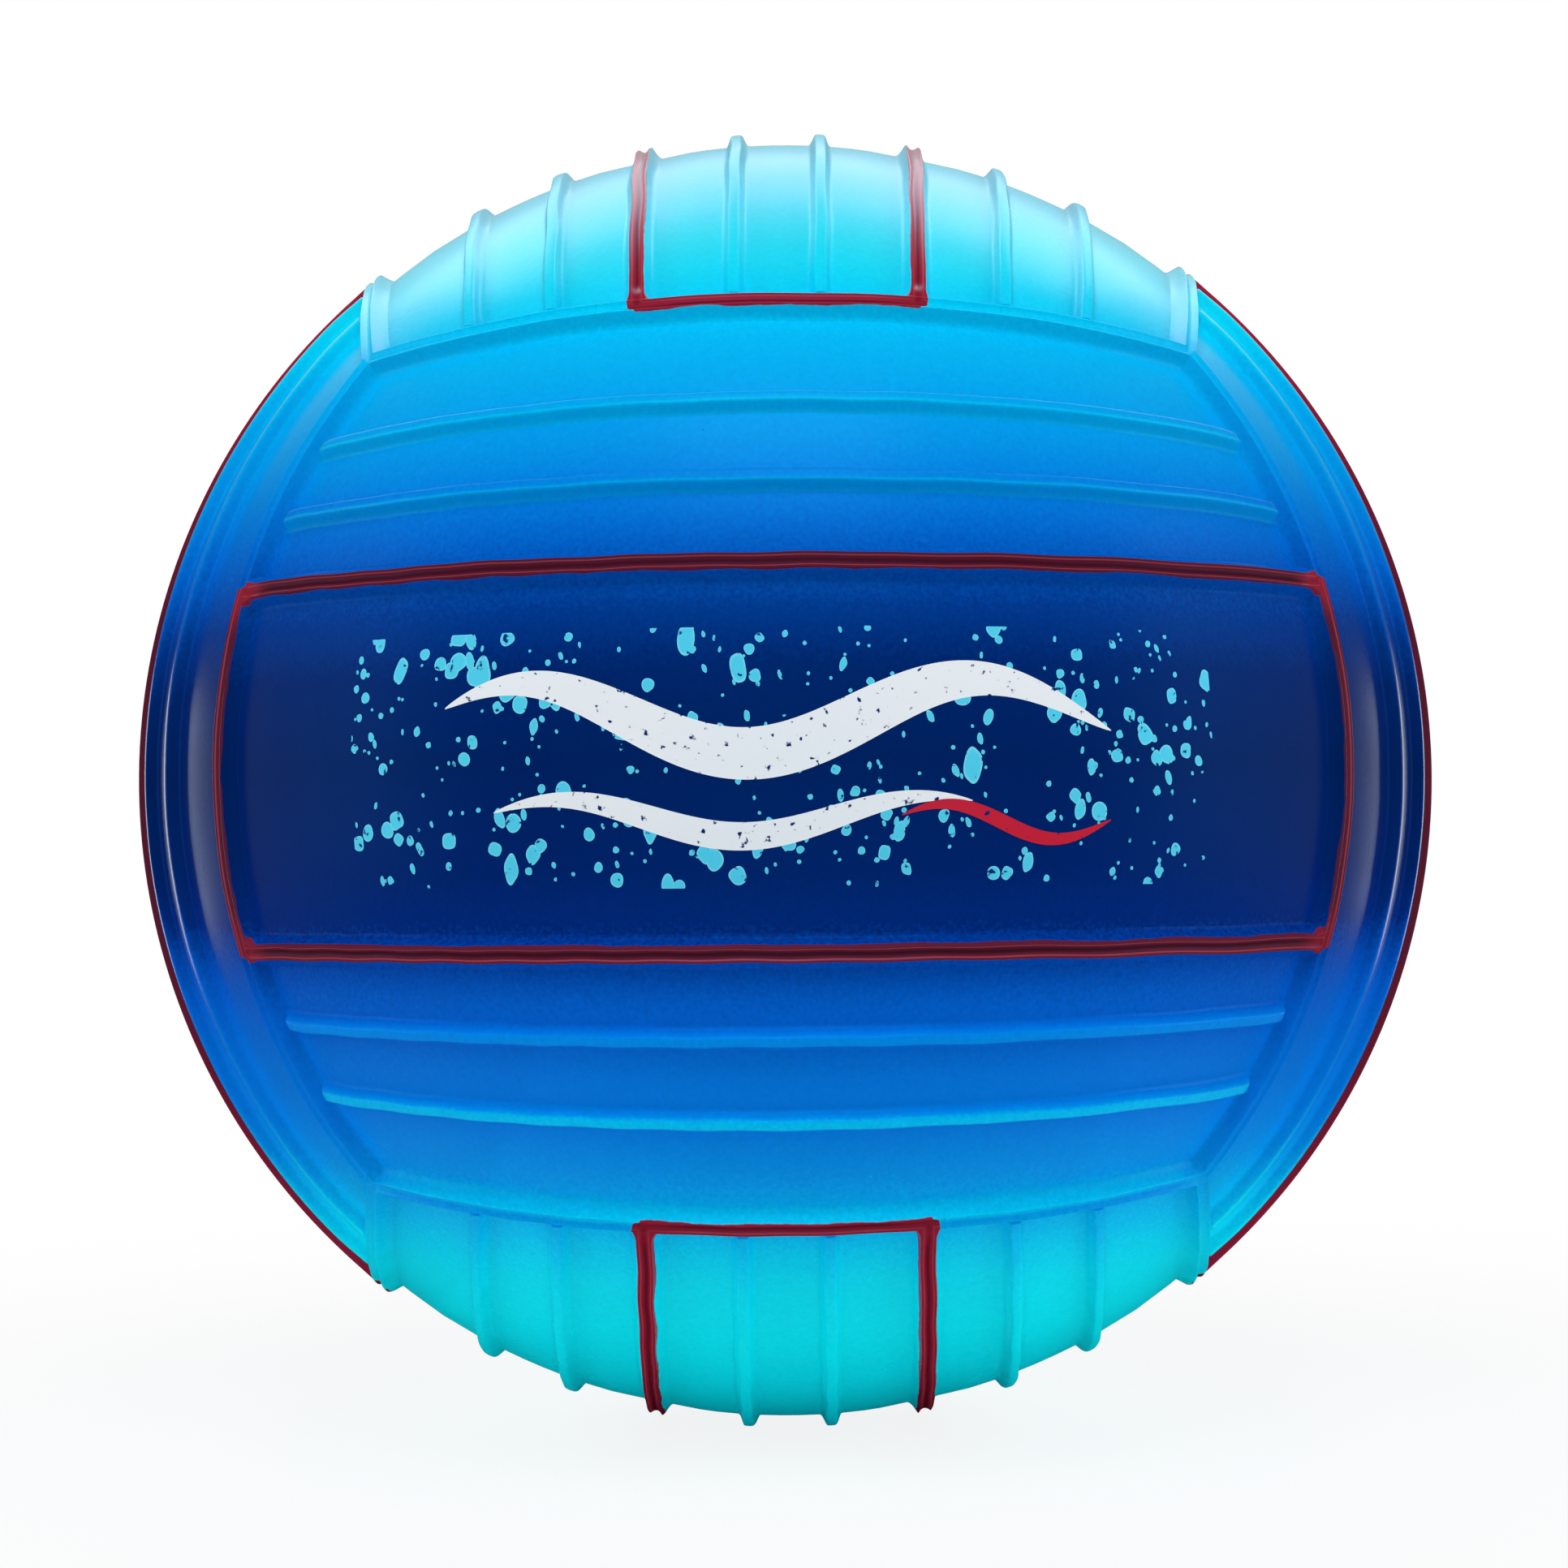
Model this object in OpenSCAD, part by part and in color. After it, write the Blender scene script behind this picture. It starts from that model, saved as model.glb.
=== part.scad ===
// Small laminated water polo ball: eighteen ribbed cover panels on a wound carcass and a
// bladder, with a double-lipped seam strip in every joint and a needle valve at the back.
// The origin is the ball's centre, +Z is up and the printed panel faces -Y.

/* [Ball] */
// Diameter over the panel surfaces, without ribs
ball_d = 190; // [160:1:220]
// Width of the centre panel of the front and back faces, halfway along it
wide_panel_w = 48; // [42:0.5:54]
// Width of the same panels at their ends
wide_panel_end_w = 47.5; // [42:0.5:54]
// Width of the centre panel of the other four faces, halfway along it
narrow_panel_w = 38.8; // [34:0.5:44]
// Width of the same panels at their ends
narrow_panel_end_w = 36; // [32:0.5:44]
// How far each face's long side bows out between its corners
side_bow = 4.2; // [2:0.1:6]

/* [Cover] */
// Thickness of the cover panels
cover_t = 1.6; // [1.2:0.1:2.4]
// Gap left for glue between the layers
glue_gap = 0.1; // [0.05:0.05:0.2]
// Gap between a panel's edge and the seam strip beside it
edge_gap = 0.1; // [0.05:0.05:0.2]

/* [Grip ribs] */
// Height of the ribs over the panel
rib_h = 1.7; // [1:0.1:2.2]
// Width of a rib's flat top
rib_top_w = 1.4; // [1:0.1:2.4]
// Radius of the hollow at a rib's foot
rib_foot_r = 1.5; // [1:0.1:2]

/* [Seams] */
// Width of the seam strips where they lie between the panels
seam_w = 3.4; // [3:0.1:4.4]
// Height of the lips on the seams between two faces
face_lip_h = 2; // [1.6:0.1:2.4]
// Height of the lips on the seams within a face
inner_lip_h = 1.8; // [1.4:0.1:2.2]
// Distance between the tops of the two lips
lip_pitch = 1.85; // [1.6:0.05:2.2]
// Radius of the rounded lips
lip_r = 0.5; // [0.4:0.05:0.6]
// Radius of the groove between the lips
groove_r = 0.62; // [0.5:0.02:0.7]

/* [Carcass and bladder] */
// Thickness of the wound thread layer
carcass_t = 0.5; // [0.4:0.1:1]
// Wall of the bladder
bladder_t = 0.6; // [0.5:0.1:1]

/* [Valve] */
// Diameter of the valve seat's neck where it shows in the back panel
neck_d = 9; // [8:0.5:11]
// Diameter of the valve seat's barrel inside the ball
barrel_d = 12; // [11:0.5:14]
// Length of the barrel under the flange
barrel_l = 14; // [11:0.5:18]
// Diameter of the flange bonded in the bladder
flange_d = 32; // [26:1:40]
// Thickness of the flange
flange_t = 1.2; // [0.8:0.1:1.6]
// Diameter of the self-sealing plug
core_d = 5; // [4:0.5:6]
// Length of the plug
core_l = 16; // [13:0.5:20]
// Diameter of the needle hole
needle_d = 2; // [1.8:0.1:2.4]
// Depth of the needle hole, down to the slit that seals it
needle_depth = 9; // [6:0.5:11]
// Depth of the round dish in the neck's outer face
dish_h = 0.6; // [0.4:0.1:0.8]

/* [Hidden] */
$fn = 96;

// Radii of the layers, from the outside in
ball_r = ball_d / 2;
cover_in_r = ball_r - cover_t;
carcass_r = cover_in_r - glue_gap;
carcass_in_r = carcass_r - carcass_t;
bladder_r = carcass_in_r - glue_gap;
bladder_in_r = bladder_r - bladder_t;
reach = ball_r + 2 * face_lip_h;

// Shares of the sizes above that shape the ribs, the seams and the plug
rib_shares = [0.31, 0.61];
rib_bevel_share = 0.22;
hollow_h_share = 0.85;
hollow_out_share = 0.97;
land_share = 0.9;
groove_share = 0.6;
hub_share = 0.56;
hub_start_share = 0.25;
pit_share = 1.3;
plug_tip_share = 0.2;

// The six faces of the ball lie as on a cube. Each face is drawn with x along its outward
// normal, y along its panels and z across them, and is then turned to its place.
function face_turn(face) =
    face == "front" ? [0, 0, -90] :
    face == "back" ? [0, 0, 90] :
    face == "top" ? [0, -90, 0] :
    face == "bottom" ? [0, 90, 0] :
    face == "left" ? [90, 0, 180] : [90, 0, 0];
function is_wide(face) = face == "front" || face == "back";

// A line across a face is the circle where the plane z = a + b * x cuts the ball. It is
// given by its offsets from the middle plane, halfway along the face and at the face's end.
function normal_at(z) = sqrt(ball_r * ball_r - z * z);
function plane_through(x1, z1, x2, z2) =
    let (b = (z1 - z2) / (x1 - x2)) [z1 - b * x1, b];
corner = ball_r / sqrt(3);
side_mid = corner + side_bow;
side_line = plane_through(normal_at(side_mid), side_mid, corner, corner);
function end_normal(z) =
    let (a = side_line[0], b = side_line[1])
    let (p = 1 + b * b, q = a * b, r = a * a + z * z - ball_r * ball_r)
    a + b * (sqrt(q * q - p * r) - q) / p;
function line(mid, end) = plane_through(normal_at(mid), mid, end_normal(end), end);
function tilt(line) = atan(line[1]);
function latitude(line) = asin(line[0] * cos(tilt(line)) / ball_r);
function turn_for(line, along) = asin(along / (ball_r * cos(latitude(line))));
function degrees_for(width) = 180 * width / (PI * ball_r);

// Lines of the seams beside the centre panels, and of the ribs, each rib at its share of
// the way between two seams. A half holds the half widths at the middle and at the end.
wide_half = [wide_panel_w / 2, wide_panel_end_w / 2];
narrow_half = [narrow_panel_w / 2, narrow_panel_end_w / 2];
function half_of(face) = is_wide(face) ? wide_half : narrow_half;
function mix(from, to, share) = from + (to - from) * share;
function inner_line(half) = line(half[0], half[1]);
function centre_rib(half) = line(half[0] * rib_shares[0], half[1] * rib_shares[0]);
function side_rib(half, share) =
    line(mix(half[0], side_mid, share), mix(half[1], corner, share));

// Clearances, and the turns at which sweeps start and end
sink = cover_t / 2;
panel_clear = seam_w / 2 + edge_gap;
inner_foot_h = cover_t - 2 * glue_gap;
shell_turn = 70;
rib_turn = 62;
corner_turn = turn_for(side_line, corner);
groove_lead = degrees_for(seam_w);
function along_at(half, gap) =
    let (x = end_normal(half[1])) sqrt(ball_r * ball_r - x * x - half[1] * half[1]) - gap;
function frame_turn(half) = turn_for(inner_line(half), along_at(half, lip_pitch / 2));
function groove_turn(half) = turn_for(inner_line(half), along_at(half, seam_w));
function bar_turn(half, gap) = turn_for(side_line, half[1] + seam_w / 2 + gap);

// Valve: its plug ends below the dish and narrows at the tip, over the air hole
core_gap = glue_gap / 2;
core_end = ball_r - dish_h - core_l;
core_tip = core_d * plug_tip_share;
air_d = core_d / 2;

module on_face(face) {
    rotate(face_turn(face)) children();
}

// The far side of the face, for what repeats across its middle plane
module across(side) {
    mirror([0, 0, side < 0 ? 1 : 0]) children();
}

// The neighbour that meets the face at its end: its long side is the end seam
module at_end(side) {
    mirror([0, side < 0 ? 1 : 0, 0]) rotate([90, 0, 90]) children();
}

// A section swept along a line of the face, between two turns from its middle
module sweep(line, from, to) {
    rotate([0, -tilt(line), 0])
        rotate_extrude(angle = to - from, start = from)
            children();
}

// A section that stands on the panel surface at a line
module on_line(line) {
    rotate(latitude(line)) translate([ball_r, 0]) children();
}

// All of the ball beyond a line, less a margin
module beyond(line, margin) {
    level = ball_r * sin(latitude(line) + degrees_for(margin));
    rotate([0, -tilt(line), 0])
        translate([-reach, -reach, level])
            cube([2 * reach, 2 * reach, reach]);
}

// Part of the cover that is larger than any face, swept round the face's middle
module cover_shell() {
    rotate_extrude(angle = 2 * shell_turn, start = -shell_turn)
        intersection() {
            difference() {
                circle(r = ball_r);
                circle(r = cover_in_r);
            }
            polygon([[0, 0], [reach, reach], [reach, -reach]]);
        }
}

// Section of a grip rib: its first axis is the height over the panel. Its top edges are
// bevelled, and its sides run out into the panel in a hollow.
module rib_section() {
    bevel = rib_top_w * rib_bevel_share;
    foot_h = rib_foot_r * hollow_h_share;
    foot_w = rib_top_w + 2 * rib_foot_r;
    union() {
        polygon([[-sink, -rib_top_w / 2], [rib_h - bevel, -rib_top_w / 2],
                 [rib_h, bevel - rib_top_w / 2], [rib_h, rib_top_w / 2 - bevel],
                 [rib_h - bevel, rib_top_w / 2], [-sink, rib_top_w / 2]]);
        difference() {
            translate([-sink, -foot_w / 2])
                square([sink + foot_h, foot_w]);
            for (side = [-1, 1])
                translate([foot_h, side * (rib_top_w / 2 + rib_foot_r * hollow_out_share)])
                    circle(r = rib_foot_r);
        }
    }
}

module grip_rib(line) {
    sweep(line, -rib_turn, rib_turn) on_line(line) rib_section();
}

// What lies inside the four seams of a face
module within_face() {
    difference() {
        intersection() {
            children();
            at_end(1) beyond(side_line, panel_clear);
            at_end(-1) beyond(side_line, panel_clear);
        }
        across(1) beyond(side_line, -panel_clear);
        across(-1) beyond(side_line, -panel_clear);
    }
}

function cover_colour(face) =
    face == "top" ? "skyblue" :
    face == "bottom" ? "turquoise" :
    is_wide(face) ? "dodgerblue" : "royalblue";

// The middle panel of a face. On the front and back it is plain, and elsewhere it has two
// ribs.
module centre_panel(face) {
    half = half_of(face);
    color(is_wide(face) ? "midnightblue" : cover_colour(face)) on_face(face)
        difference() {
            within_face() {
                union() {
                    cover_shell();
                    for (side = is_wide(face) ? [] : [-1, 1])
                        across(side) grip_rib(centre_rib(half));
                }
            }
            across(1) beyond(inner_line(half), -panel_clear);
            across(-1) beyond(inner_line(half), -panel_clear);
        }
}

module back_centre_panel() {
    color("midnightblue") difference() {
        centre_panel("back");
        valve_hole();
    }
}

// The panel between a face's centre panel and its long side, always with two ribs
module side_panel(face, side) {
    half = half_of(face);
    color(cover_colour(face)) on_face(face) across(side)
        intersection() {
            within_face() {
                union() {
                    cover_shell();
                    for (share = rib_shares)
                        grip_rib(side_rib(half, share));
                }
            }
            beyond(inner_line(half), panel_clear);
        }
}

// Section of a seam strip: a foot between two panels, whose sides lie along the panels'
// flat edges, and a raised land with a rounded lip on each side
module seam_section(line, lip_h, foot_h) {
    shoulder = lip_h - lip_r;
    top_w = lip_pitch + 2 * lip_r * land_share;
    lean = foot_h * tan(latitude(line));
    on_line(line) {
        polygon([[-foot_h, lean - seam_w / 2], [0, -seam_w / 2], [shoulder, -top_w / 2],
                 [shoulder, top_w / 2], [0, seam_w / 2], [-foot_h, lean + seam_w / 2]]);
        for (side = [-1, 1])
            translate([shoulder, side * lip_pitch / 2])
                circle(r = lip_r);
    }
}

module groove_section(line, lip_h) {
    on_line(line) translate([lip_h - lip_r * groove_share, 0]) circle(r = groove_r);
}

// Red frame round a centre panel: two long strips that butt against two end bars. The
// strips' grooves stop short of the bars, and the bars' grooves run through.
module seam_frame(face) {
    half = half_of(face);
    inner = inner_line(half);
    bar = bar_turn(half, 0);
    color("firebrick") on_face(face) difference() {
        union() {
            for (side = [-1, 1]) {
                across(side) sweep(inner, -frame_turn(half), frame_turn(half))
                    seam_section(inner, inner_lip_h, inner_foot_h);
                at_end(side) sweep(side_line, -bar, bar)
                    seam_section(side_line, face_lip_h, cover_t);
            }
        }
        for (side = [-1, 1]) {
            across(side) sweep(inner, -groove_turn(half), groove_turn(half))
                groove_section(inner, inner_lip_h);
            at_end(side) sweep(side_line, -bar, bar)
                groove_section(side_line, face_lip_h);
        }
    }
}

// Arms of the corner where the faces toward +X, +Y and +Z meet. Each turn of the cycle
// carries one face's long side to the next.
module cycled(count) {
    if (count == 0) {
        children();
    } else {
        rotate([90, 0, 90]) cycled(count - 1) children();
    }
}

module corner_arms(starts, lead, stop) {
    for (count = [0 : len(starts) - 1])
        cycled(count) on_face("right") across(-1)
            sweep(side_line, starts[count] - lead, corner_turn - stop) children();
}

// Y of three arms with a round hub, its grooves running together in a pit
module corner_star() {
    wide_start = bar_turn(wide_half, edge_gap);
    narrow_start = bar_turn(narrow_half, edge_gap);
    starts = [wide_start, narrow_start, narrow_start];
    pit_r = groove_r * pit_share;
    difference() {
        union() {
            corner_arms(starts, 0, degrees_for(seam_w * hub_start_share))
                seam_section(side_line, face_lip_h, cover_t);
            at_corner() translate([0, 0, cover_in_r])
                cylinder(h = cover_t + face_lip_h, r = seam_w * hub_share);
        }
        corner_arms(starts, groove_lead, degrees_for(pit_r / 2))
            groove_section(side_line, face_lip_h);
        at_corner() translate([0, 0, ball_r + face_lip_h]) sphere(r = pit_r);
    }
}

module at_corner() {
    rotate([0, acos(1 / sqrt(3)), 45]) children();
}

module corner_seam(side_x, side_y, side_z) {
    color("deepskyblue")
        mirror([side_x < 0 ? 1 : 0, 0, 0])
            mirror([0, side_y < 0 ? 1 : 0, 0])
                mirror([0, 0, side_z < 0 ? 1 : 0])
                    corner_star();
}

// The valve's axis points out of the middle of the back panel, from the ball's centre
module on_valve_axis() {
    rotate([-90, 0, 0]) children();
}

module valve_hole() {
    on_valve_axis() cylinder(h = reach, d = neck_d + 2 * edge_gap);
}

// A layer under the cover, a whole ball but for the valve's hole
module layer(outer_r, inner_r) {
    difference() {
        sphere(r = outer_r);
        sphere(r = inner_r);
        valve_hole();
    }
}

module carcass() {
    color("ivory") layer(carcass_r, carcass_in_r);
}

module bladder() {
    color("dimgray") layer(bladder_r, bladder_in_r);
}

// Valve seat: a flange bonded in the bladder, a neck through all the layers and a barrel
// inside, with the plug's hole and the air hole below it
module valve_body() {
    flange_r = bladder_in_r - glue_gap;
    plug_hole_d = core_d + 2 * core_gap;
    color("navy") difference() {
        union() {
            intersection() {
                difference() {
                    sphere(r = flange_r);
                    sphere(r = flange_r - flange_t);
                }
                on_valve_axis() cylinder(h = ball_r, d = flange_d);
            }
            intersection() {
                sphere(r = ball_r);
                on_valve_axis() translate([0, 0, flange_r - flange_t])
                    cylinder(h = reach, d = neck_d);
            }
            on_valve_axis() translate([0, 0, flange_r - flange_t - barrel_l])
                cylinder(h = barrel_l + flange_t / 2, d = barrel_d);
        }
        on_valve_axis() translate([0, 0, core_end - core_gap])
            cylinder(h = reach, d = plug_hole_d);
        on_valve_axis() cylinder(h = reach, d = air_d);
        on_valve_axis() translate([0, 0, ball_r - dish_h])
            cylinder(h = 2 * dish_h, d1 = plug_hole_d, d2 = neck_d);
    }
}

module valve_core() {
    color("black") on_valve_axis() difference() {
        union() {
            translate([0, 0, core_end + core_tip])
                cylinder(h = core_l - core_tip, d = core_d);
            translate([0, 0, core_end])
                cylinder(h = core_tip, d1 = air_d, d2 = core_d);
        }
        translate([0, 0, core_end + core_l - needle_depth])
            cylinder(h = reach, d = needle_d);
    }
}

centre_panel("front");  // front_centre_panel
side_panel("front", 1);  // front_upper_panel
side_panel("front", -1);  // front_lower_panel
back_centre_panel();
side_panel("back", 1);  // back_upper_panel
side_panel("back", -1);  // back_lower_panel
centre_panel("top");  // top_centre_panel
side_panel("top", 1);  // top_left_panel
side_panel("top", -1);  // top_right_panel
centre_panel("bottom");  // bottom_centre_panel
side_panel("bottom", -1);  // bottom_left_panel
side_panel("bottom", 1);  // bottom_right_panel
centre_panel("left");  // left_centre_panel
side_panel("left", -1);  // left_front_panel
side_panel("left", 1);  // left_back_panel
centre_panel("right");  // right_centre_panel
side_panel("right", 1);  // right_front_panel
side_panel("right", -1);  // right_back_panel
seam_frame("front");  // front_seam_frame
seam_frame("back");  // back_seam_frame
seam_frame("top");  // top_seam_frame
seam_frame("bottom");  // bottom_seam_frame
seam_frame("left");  // left_seam_frame
seam_frame("right");  // right_seam_frame
corner_seam(-1, -1, 1);  // corner_seam_front_top_left
corner_seam(1, -1, 1);  // corner_seam_front_top_right
corner_seam(-1, -1, -1);  // corner_seam_front_bottom_left
corner_seam(1, -1, -1);  // corner_seam_front_bottom_right
corner_seam(-1, 1, 1);  // corner_seam_back_top_left
corner_seam(1, 1, 1);  // corner_seam_back_top_right
corner_seam(-1, 1, -1);  // corner_seam_back_bottom_left
corner_seam(1, 1, -1);  // corner_seam_back_bottom_right
carcass();
bladder();
valve_body();
valve_core();
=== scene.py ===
# %% [markdown]
# A small water polo ball, built in mesh code.
#
# The real ball has eighteen soft rubber panels, three to each of its six faces. Every joint
# between two panels is a raised seam with two lips and a groove, and the grip ribs are
# moulded on the panels. All of it is one thin relief on a sphere, hardly more than two
# millimetres high, so the whole look depends on getting that relief right.
#
# One could sculpt it, or displace a subdivided sphere, but then no edge loop follows a lip
# and the lips turn to mush. Here each piece is a grid whose lines run along the seams and
# ribs, and one height function says how far each point stands out. All pieces ask the same
# function, so they meet without a step.
#
# The imported model comes in first, as the fixed frame that every piece sits in.

import itertools
import math
import random

import bmesh
import bpy
import numpy as np
from mathutils import Matrix, Vector


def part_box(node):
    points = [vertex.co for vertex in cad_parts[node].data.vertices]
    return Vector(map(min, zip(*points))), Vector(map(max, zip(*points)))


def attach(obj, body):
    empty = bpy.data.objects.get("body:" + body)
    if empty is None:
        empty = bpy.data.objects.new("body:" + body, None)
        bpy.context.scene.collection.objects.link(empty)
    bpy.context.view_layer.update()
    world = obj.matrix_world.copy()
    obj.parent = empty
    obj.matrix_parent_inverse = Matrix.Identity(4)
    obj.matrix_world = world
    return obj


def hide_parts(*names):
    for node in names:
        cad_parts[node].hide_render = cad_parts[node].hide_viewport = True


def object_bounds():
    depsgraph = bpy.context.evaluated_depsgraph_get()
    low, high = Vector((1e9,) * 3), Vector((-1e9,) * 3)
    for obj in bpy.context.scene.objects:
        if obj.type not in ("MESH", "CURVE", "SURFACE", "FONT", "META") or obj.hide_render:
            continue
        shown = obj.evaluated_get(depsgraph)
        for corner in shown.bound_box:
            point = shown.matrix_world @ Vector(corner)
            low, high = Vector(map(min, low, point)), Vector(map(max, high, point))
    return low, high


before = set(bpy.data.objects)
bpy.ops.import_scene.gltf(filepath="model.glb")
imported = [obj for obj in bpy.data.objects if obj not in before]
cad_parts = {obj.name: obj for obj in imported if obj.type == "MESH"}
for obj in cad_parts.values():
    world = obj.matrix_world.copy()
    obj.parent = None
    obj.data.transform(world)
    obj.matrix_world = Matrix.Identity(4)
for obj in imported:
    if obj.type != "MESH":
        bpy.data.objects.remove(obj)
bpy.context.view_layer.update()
MM = 0.001
BALL_R = round(-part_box("front_centre_panel")[0].y / MM, 1)
print("nodes in the frame:", len(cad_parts), "ball radius in mm:", BALL_R)

# %% [markdown]
# The layout. Think of the ball as a blown-up cube. Each face has a normal, a direction along
# its panels and one across them, and the panels of neighbouring faces run at right angles,
# so a face's long side is always its neighbour's end.
#
# A seam or rib is a circle on the ball: a flat cut z = a + b * x, where x is the face's
# normal and z runs across it. Two offsets, halfway along the face and at its end, fix a and
# b, just as a maker marks out such a ball by widths in two places.

# %% Sizes of the layout, in millimetres
WIDE_FACES = ("front", "back")
WIDE_HALF = (24.0, 23.75)
NARROW_HALF = (19.4, 18.0)
SIDE_BOW = 4.2
RIB_SHARES = (0.31, 0.61)
FACES = {
    "front": ((0, -1, 0), (1, 0, 0), (0, 0, 1)),
    "back": ((0, 1, 0), (-1, 0, 0), (0, 0, 1)),
    "top": ((0, 0, 1), (0, 1, 0), (-1, 0, 0)),
    "bottom": ((0, 0, -1), (0, 1, 0), (1, 0, 0)),
    "left": ((-1, 0, 0), (0, 0, 1), (0, 1, 0)),
    "right": ((1, 0, 0), (0, 0, 1), (0, -1, 0)),
}
AXES = {name: np.array(axes, float).T for name, axes in FACES.items()}


def half_of(face):
    return WIDE_HALF if face in WIDE_FACES else NARROW_HALF


def face_toward(direction):
    """The face whose normal points that way."""
    return max(FACES, key=lambda name: float(np.dot(FACES[name][0], direction)))


def plane_through(x1, z1, x2, z2):
    b = (z1 - z2) / (x1 - x2)
    return z1 - b * x1, b


CORNER = BALL_R / math.sqrt(3)
SIDE_MID = CORNER + SIDE_BOW
SIDE = plane_through(math.sqrt(BALL_R**2 - SIDE_MID**2), SIDE_MID, CORNER, CORNER)


def end_normal(z):
    """How far along the normal a line at offset z meets the end of its face."""
    a, b = SIDE
    p, q, r = 1 + b * b, a * b, a * a + z * z - BALL_R**2
    return a + b * (math.sqrt(q * q - p * r) - q) / p


def line(mid, end):
    return plane_through(math.sqrt(BALL_R**2 - mid**2), mid, end_normal(end), end)


def inner_line(face):
    return line(*half_of(face))


def rib_lines(face):
    """The cuts of a side panel's two ribs, and of a centre panel's rib, on the far side."""
    mid, end = half_of(face)
    sides = [(mid + (SIDE_MID - mid) * s, end + (CORNER - end) * s) for s in RIB_SHARES]
    return [line(*offsets) for offsets in sides], line(mid * RIB_SHARES[0], end * RIB_SHARES[0])


print("side cut:", [round(v, 3) for v in SIDE], "corner at", round(CORNER, 2))

# %% [markdown]
# Helpers for cuts. A cut moved sideways along the surface gives the parallels that the mesh
# lines follow. Two cuts, as planes in the ball's own axes, meet the ball in a point. Every
# border corner is found that way, so that neighbouring pieces share it exactly.

# %% Cuts, planes and where they meet
def parallel(cut, distance):
    a, b = cut
    lean = math.cos(math.atan(b))
    return BALL_R * math.sin(math.asin(a * lean / BALL_R) + distance / BALL_R) / lean, b


def far(cut):
    """The mirrored cut on the other side of the face."""
    return -cut[0], -cut[1]


def all_ribs(face):
    """The cuts of every rib on a face. A wide centre panel has none."""
    side, centre = rib_lines(face)
    ribs = side + [far(cut) for cut in side]
    return ribs if face in WIDE_FACES else ribs + [centre, far(centre)]


def cut_plane(face, cut, local_normal=None):
    """The cut as a plane in the ball's axes: a normal and an offset."""
    a, b = cut
    size = math.sqrt(1 + b * b)
    return AXES[face] @ np.array(local_normal or (-b, 0, 1)) / size, a / size


def side_plane(face, sign):
    """The face's long side as a plane, its normal pointing out of the face."""
    return cut_plane(face, SIDE, (-SIDE[1], 0, sign))


def end_plane(face, sign):
    """The end of the face, its normal pointing into the face."""
    return cut_plane(face, SIDE, (1, -SIDE[1] * sign, 0))


def moved(plane, distance):
    normal, offset = plane
    return normal, BALL_R * math.sin(math.asin(offset / BALL_R) + distance / BALL_R)


def distance_to(points, plane):
    """Signed distance along the surface from a plane's circle, in millimetres."""
    normal, offset = plane
    lift = np.clip(points @ normal / BALL_R, -1, 1)
    return BALL_R * (np.arcsin(lift) - math.asin(offset / BALL_R))


def from_cut(points, face, cut):
    return distance_to(points, cut_plane(face, cut))


def meeting(first, second, hint):
    """Where two planes and the ball meet, on the hint's side."""
    (n1, o1), (n2, o2) = first, second
    along = np.cross(n1, n2)
    base = (o1 * np.cross(n2, along) + o2 * np.cross(along, n1)) / (along @ along)
    reach = math.sqrt((BALL_R**2 - base @ base) / (along @ along))
    ends = (base + reach * along, base - reach * along)
    return max(ends, key=lambda point: float(point @ hint))


def along_circle(plane, start, end, steps):
    """Points in one plane on the ball, at the given shares from start to end."""
    normal, offset = plane
    middle = normal * offset
    first, last = start - middle, end - middle
    side = np.cross(normal, first)
    turn = math.atan2(last @ side, last @ first)
    turns = np.asarray(steps)[:, None] * turn
    return middle + np.cos(turns) * first + np.sin(turns) * side


# %% [markdown]
# The relief. A seam stands up as two narrow lips with a shallow round groove between them, a
# rib is a flat-topped ridge with steep sides, and both run out into the panel in a hollow.
#
# Each section is a function of the distance from the line, put together from a few straight
# slopes and one curve. A smooth maximum rounds a hollow and a smooth minimum rounds a crest,
# so one number each sets how soft the rubber looks there.

# %% Sections of the relief, in millimetres
FACE_LIP_H = 2.05
INNER_LIP_H = 1.85
LIP_PITCH = 1.85
GROOVE_DEPTH = 0.62
FILLED_SHARE = 0.3
LIP_SLOPE = 2.4
LIP_ROUND = 0.42
SEAM_HOLLOW = 1.2
RIB_H = 1.7
RIB_CROWN = 0.08
RIB_HALF = 0.68
RIB_SLOPE = 2.4
RIB_ROUND = 0.3
RIB_HOLLOW = 0.65


def smooth_max(one, other, blend, share=1.0):
    """The higher of the two, with the whole fillet between them or a share of it."""
    gap = np.maximum(blend - np.abs(one - other), 0) / blend
    return np.maximum(one, other) + gap * gap * share * blend / 4


def smooth_min(one, other, blend):
    return -smooth_max(-one, -other, blend)


def ease(value, low, high):
    share = np.clip((value - low) / (high - low), 0, 1)
    return share * share * (3 - 2 * share)


def rib_height(away):
    crown = RIB_H - RIB_CROWN * (away / RIB_HALF) ** 2
    slope = RIB_H - RIB_SLOPE * (away - RIB_HALF)
    return smooth_max(smooth_min(crown, slope, RIB_ROUND), 0 * away, RIB_HOLLOW)


def seam_height(away, lip_h, open_groove):
    """Two lips with a groove between them. open_groove goes from 0, filled, to 1."""
    crest = LIP_PITCH / 2
    top = lip_h + LIP_ROUND / 4
    depth = GROOVE_DEPTH * (FILLED_SHARE + (1 - FILLED_SHARE) * open_groove)
    groove = top - depth * (1 - (away / crest) ** 2)
    slope = top - LIP_SLOPE * (away - crest)
    return smooth_max(smooth_min(groove, slope, LIP_ROUND), 0 * away, SEAM_HOLLOW)


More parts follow.
